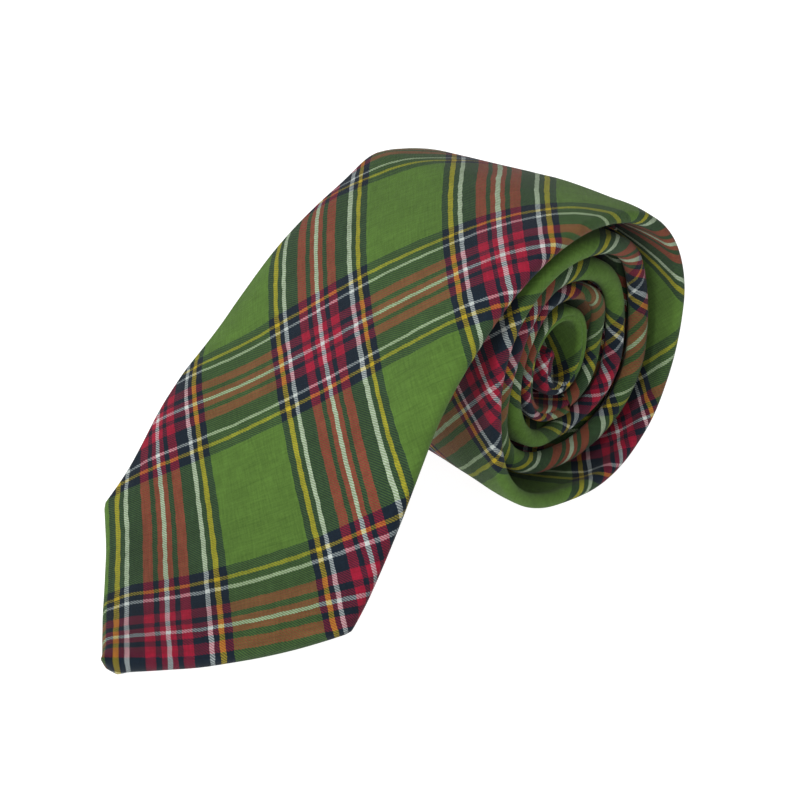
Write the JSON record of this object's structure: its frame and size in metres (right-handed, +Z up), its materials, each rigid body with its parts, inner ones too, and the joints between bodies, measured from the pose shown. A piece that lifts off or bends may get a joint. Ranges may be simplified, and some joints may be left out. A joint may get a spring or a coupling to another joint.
{
  "type": "necktie",
  "caption": "Tartan necktie rolled from the narrow end, standing on its side with the pointed wide blade leaving the roll and resting on the table.",
  "frame": {"origin": "centre of the bounding box on the table plane", "axes": "+X from the blade tip to the roll, +Y along the roll's axis away from its open near end, +Z up"},
  "size_m": [0.1546, 0.0876, 0.0762],
  "materials": {
    "tartan": "matt bias-cut twill, green with red, navy, yellow and white lines",
    "interlining": "matt brushed wool blend, off-white",
    "tip_lining": "smooth dark navy lining with a slight sheen",
    "thread": "matt dark green sewing thread"
  },
  "bodies": {
    "roll": {"roll_outer_turn_shell": "tartan", "roll_inner_turns_shell": "tartan", "roll_blade_interlining": "interlining", "roll_slip_stitch": "thread", "neck_shell": "tartan", "neck_interlining": "interlining", "neck_slip_stitch": "thread", "tail_shell": "tartan", "tail_interlining": "interlining", "tail_slip_stitch": "thread", "tail_bar_tack": "thread", "blade_neck_seam": "thread", "neck_tail_seam": "thread", "keeper_loop": "tartan", "keeper_stitches": "thread"},
    "blade_upper": {"blade_upper_shell": "tartan", "blade_upper_interlining": "interlining", "blade_upper_slip_stitch": "thread"},
    "blade_middle": {"blade_middle_shell": "tartan", "blade_middle_interlining": "interlining", "blade_middle_slip_stitch": "thread"},
    "blade_tip": {"blade_tip_shell": "tartan", "blade_tip_interlining": "interlining", "blade_tip_lining": "tip_lining", "blade_bar_tack": "thread"}
  },
  "joints": [
    {"name": "crest_bend", "type": "hinge", "parent": "roll", "child": "blade_upper", "pos_m": [0.04421, -0.00136, 0.07155], "axis": [0, 0.9889, -0.1486], "range_deg": [0, 60]},
    {"name": "middle_bend", "type": "hinge", "parent": "blade_upper", "child": "blade_middle", "pos_m": [0.00415, -0.00218, 0.05089], "axis": [-0.0602, 0.9803, -0.188], "range_deg": [0, 45]},
    {"name": "tip_bend", "type": "hinge", "parent": "blade_middle", "child": "blade_tip", "pos_m": [-0.02779, -0.00583, 0.02051], "axis": [-0.1653, 0.986, -0.0197], "range_deg": [0, 60]}
  ]
}
